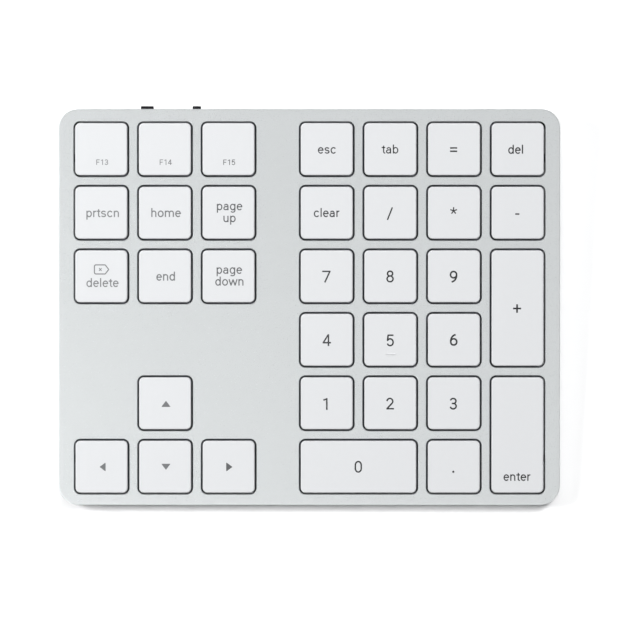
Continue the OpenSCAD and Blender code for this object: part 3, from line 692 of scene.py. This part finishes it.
def make_mechanism(k):
    name, kx, ky, ew, ed, col = k
    turned = ed > 0

    def place(x, y, z, direction=False):
        if turned:
            x, y = -y, x
        return deck_dir(x, y, z) if direction else deck(kx + x, ky + y, z)

    def turn(x, y, z):
        return place(x, y, z, True)

    s = Shell()
    frame_mesh(s, 12.4, 11.4, 1.1, 0.8, LEV_TILT, place, 0)
    frame_mesh(s, 9.8, 10.2, 1.0, 0.8, -LEV_TILT, place, 0)
    dome = [(3.4, 0.0, 1, 0), (3.4, 0.3, 0.8, 0.6), (2.9, 0.35, 0.9, 0.5), (1.9, 2.5, 0.9, 0.3), (1.7, 3.25, 0.7, 0.7)]
    lathe(s, [(r, MEM_TOP + z, a, b) for r, z, a, b in dome], place, turn, 24, 1, "both")
    ob = s.object("mechanism_" + name, M["pale"], M["dome"])
    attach(ob, "housing")
    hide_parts("rubber_domes", "scissor_outer_frames", "scissor_inner_frames")
    tuple(c * 0.001 for c in deck(kx, ky, MEM_TOP))
    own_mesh(ob)


for k in KEYS:
    make_mechanism(k)


# ------------------------------------------------------------------ back edge: inlet, switch, button
def on_back(x0, z0):
    """Maps x, y of a loop to the back wall and the height to the way out of it, from the wall's face."""
    return (lambda x, y, d: (x0 + x, Y_BACK + d, z0 + y)), (lambda x, y, d: (x, d, y))


def make_port():
    place, turn = on_back(PORT_X, PORT_Z)
    s = Shell()
    o, i = loop_stadium(0, 0, PORT_W, PORT_H, 16), loop_stadium(0, 0, PORT_W - 0.6, PORT_H - 0.6, 16)
    mouth = -0.25
    profile(s, o, [(0, -7.55, 1, 0), (0, mouth - 0.12, 1, 0), (-0.035, mouth - 0.035, 0.7, 0.7), (-0.12, mouth, 0, 1), (-0.18, mouth, 0, 1), (-0.26, mouth - 0.03, -0.7, 0.7)], place, turn)
    a = [place(p[0] - 0.26 * p[2], p[1] - 0.26 * p[3], mouth - 0.03) for p in o]
    b = [place(p[0], p[1], mouth - 0.12) for p in i]
    na, nb = [turn(-0.7 * p[2], -0.7 * p[3], 0.7) for p in o], [turn(-p[2], -p[3], 0) for p in i]
    s.band(a, b, na, nb)
    profile(s, i, [(0, mouth - 0.12, -1, 0), (0, -5.6, -1, 0)], place, turn)
    s.face([place(p[0], p[1], -5.6) for p in i], (0, 1, 0))
    s.face([place(p[0], p[1], -7.55) for p in o], (0, -1, 0))
    ob = s.object("inlet_shell", M["nickel"])
    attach(ob, "housing")
    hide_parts("usb_c_shell")
    t = Shell()
    o = loop_round(0, 0, 6.66, 0.7, 0.3, 6)
    profile(t, o, [(0, -5.62, 1, 0), (0, -1.32, 1, 0), (-0.04, -1.23, 0.7, 0.7), (-0.12, -1.2, 0, 1)], place, turn)
    t.face([place(x, y, -1.2) for x, y in moved(o, -0.12)], (0, 1, 0))
    base = loop_stadium(0, 0, PORT_W - 0.66, PORT_H - 0.66, 12)
    profile(t, base, [(0, -5.6, 1, 0), (0, -4.9, 1, 0)], place, turn)
    t.face([place(p[0], p[1], -4.9) for p in base], (0, 1, 0))
    for side in (-1, 1):
        for c in range(12):
            cx = (c - 5.5) * 0.5
            y0 = side * 0.352
            t.face([(PORT_X + cx - 0.13, Y_BACK - 4.6, PORT_Z + y0), (PORT_X + cx + 0.13, Y_BACK - 4.6, PORT_Z + y0), (PORT_X + cx + 0.13, Y_BACK - 1.5, PORT_Z + y0), (PORT_X + cx - 0.13, Y_BACK - 1.5, PORT_Z + y0)], (0, 0, side), 1)
    ob = t.object("inlet_tongue", M["black"], M["gold"])
    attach(ob, "housing")
    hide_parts("usb_c_tongue")


make_port()


def make_knob():
    """Switch knob: a rounded block that stands out of the back wall."""
    place, turn = on_back(KNOB_X, PORT_Z)
    s = Shell()
    out = loop_round(0, 0, KNOB_W, 1.6, 0.4, 8)
    r = 0.22
    steps = [(0, 55.1 - Y_BACK, 1, 0)] + [(-r + r * math.cos(math.radians(a)), KNOB_OUT - r + r * math.sin(math.radians(a)), math.cos(math.radians(a)), math.sin(math.radians(a))) for a in (0, 18, 36, 54, 72, 90)]
    profile(s, out, steps, place, turn)
    s.face([place(x, y, KNOB_OUT) for x, y in moved(out, -r)], (0, 1, 0))
    s.face([place(p[0], p[1], 55.1 - Y_BACK) for p in out], (0, -1, 0))
    ob = s.object("switch_knob_cap", M["black"])
    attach(ob, "switch_knob")
    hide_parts("power_switch_knob")


make_knob()


def make_button():
    place, turn = on_back(BUTTON_X, PORT_Z)
    s = Shell()
    R, r = BUTTON_D / 2, 0.25
    steps = [(R, -2.65, 1, 0), (R, -2.35, 1, 0)]
    steps += [(1.7, -2.35, 0, -1), (1.7, -1.65, 0, 1), (R, -1.65, 0, 1)]
    lathe(s, [(R, -2.65, 1, 0), (R, -2.35, 1, 0)], place, turn)
    lathe(s, [(R, -2.35, 0, -1), (1.7, -2.35, 0, -1)], place, turn)
    lathe(s, [(1.7, -2.35, 1, 0), (1.7, -1.65, 1, 0)], place, turn)
    lathe(s, [(1.7, -1.65, 0, 1), (R, -1.65, 0, 1)], place, turn)
    rim = [(R, -1.65, 1, 0), (R, KNOB_OUT - r, 1, 0)]
    rim += [(R - r + r * math.cos(math.radians(a)), KNOB_OUT - r + r * math.sin(math.radians(a)), math.cos(math.radians(a)), math.sin(math.radians(a))) for a in (15, 30, 45, 60, 75, 90)]
    lathe(s, rim + [(0.35, KNOB_OUT, 0, 1)], place, turn)
    lathe(s, [(0.35, KNOB_OUT, 0, 1), (0.02, KNOB_OUT, 0, 1)], place, turn, 48, 0, "top")
    s.face([place(R * math.cos(2 * math.pi * k / 48), R * math.sin(2 * math.pi * k / 48), -2.65) for k in range(48)], (0, -1, 0))
    ob = s.object("pairing_button_cap", M["black"])
    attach(ob, "button")
    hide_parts("pairing_button")


make_button()

# ------------------------------------------------------------------ stage, light and camera
floor_mesh = bpy.data.meshes.new("floor")
floor_mesh.from_pydata([(-4, -4, 0), (4, -4, 0), (4, 4, 0), (-4, 4, 0)], [], [(0, 1, 2, 3)])
floor = bpy.data.objects.new("floor", floor_mesh)
bpy.context.scene.collection.objects.link(floor)
fm = bpy.data.materials.new("floor_white")
fm.use_nodes = True
fb = fm.node_tree.nodes["Principled BSDF"]
fb.inputs["Base Color"].default_value = (1.115, 1.115, 1.12, 1)
fb.inputs["Roughness"].default_value = 0.9
fb.inputs["Specular IOR Level"].default_value = 0.1
# the floor looks darker in the metal than to the eye, so that the bright walls stand out from it
path = fm.node_tree.nodes.new("ShaderNodeLightPath")
shade = fm.node_tree.nodes.new("ShaderNodeMix")
shade.data_type = "RGBA"
shade.inputs[6].default_value = (1.115, 1.115, 1.12, 1)
shade.inputs[7].default_value = (0.70, 0.705, 0.715, 1)
fm.node_tree.links.new(path.outputs["Is Glossy Ray"], shade.inputs[0])
fm.node_tree.links.new(shade.outputs[2], fb.inputs["Base Color"])
floor_mesh.materials.append(fm)

# the room: weak fill for matt surfaces, an even bright surround for metal and gloss, white behind
world = bpy.data.worlds.new("studio")
world.use_nodes = True
wt = world.node_tree
wt.nodes["Background"].inputs["Color"].default_value = (1.0, 1.0, 1.0, 1)
ray = wt.nodes.new("ShaderNodeLightPath")
level = wt.nodes.new("ShaderNodeMath")
level.operation = "MULTIPLY_ADD"
level.inputs[1].default_value = -0.50
level.inputs[2].default_value = 0.605
wt.links.new(ray.outputs["Is Diffuse Ray"], level.inputs[0])
seen = wt.nodes.new("ShaderNodeMath")
seen.operation = "MULTIPLY_ADD"
seen.inputs[1].default_value = 0.395
wt.links.new(ray.outputs["Is Camera Ray"], seen.inputs[0])
wt.links.new(level.outputs["Value"], seen.inputs[2])
# the room is a little brighter to the left and in front than to the right and behind
sky = wt.nodes.new("ShaderNodeTexCoord")
lean = wt.nodes.new("ShaderNodeVectorMath")
lean.operation = "DOT_PRODUCT"
lean.inputs[1].default_value = (-0.26, -0.26, 0.0)
wt.links.new(sky.outputs["Generated"], lean.inputs[0])
even = wt.nodes.new("ShaderNodeMath")
even.operation = "ADD"
even.inputs[1].default_value = 1.0
wt.links.new(lean.outputs["Value"], even.inputs[0])
total = wt.nodes.new("ShaderNodeMath")
total.operation = "MULTIPLY"
wt.links.new(seen.outputs["Value"], total.inputs[0])
wt.links.new(even.outputs["Value"], total.inputs[1])
wt.links.new(total.outputs["Value"], wt.nodes["Background"].inputs["Strength"])
bpy.context.scene.world = world


def softbox(name, at, w, h, watts, gloss):
    """A softbox aimed at the middle of the part. Some light matt surfaces, the others are seen only in metal and gloss."""
    d = bpy.data.lights.new(name, "AREA")
    d.shape = "RECTANGLE"
    d.size, d.size_y, d.energy = w, h, watts
    ob = bpy.data.objects.new(name, d)
    bpy.context.scene.collection.objects.link(ob)
    ob.location = at
    ob.rotation_euler = (Vector((0, 0, 0)) - Vector(at)).to_track_quat("-Z", "Y").to_euler()
    ob.visible_glossy = gloss
    ob.visible_diffuse = not gloss
    return ob


softbox("key_light", (1.2, 1.2, 2.55), 1.05, 1.05, 61.5, False)
softbox("top_light", (0.0, 0.2, 1.9), 0.6, 0.6, 3.2, False)
softbox("low_left_light", (-0.7, 0.1, 0.5), 0.3, 0.3, 6.4, False)
softbox("low_back_light", (0.0, 2.4, 1.12), 0.96, 0.48, 17.0, False)
softbox("left_glow", (-0.75, 0.0, 1.8), 0.3, 0.5, 1.3, True)
softbox("front_left_glow", (-0.55, -0.55, 1.8), 0.3, 0.3, 1.9, True)
softbox("front_glow", (0.0, -1.0, 1.7), 0.9, 0.5, 1.5, True)

scene = bpy.context.scene
scene.view_settings.view_transform = "Standard"
scene.view_settings.look = "None"
scene.view_settings.exposure = 0.0
scene.view_settings.gamma = 1.0

cam_data = bpy.data.cameras.new("camera")
cam = bpy.data.objects.new("camera", cam_data)
scene.collection.objects.link(cam)
DIST, FIELD = 2.85, 0.1853
cam_data.sensor_width = 36.0
cam_data.lens = 36.0 * DIST / FIELD
cam_data.clip_start, cam_data.clip_end = 0.05, 20.0
cam.location = (0.00016, -0.00135, DECK_Z * 0.001 + DIST)
cam.rotation_euler = (0, 0, 0)
scene.camera = cam
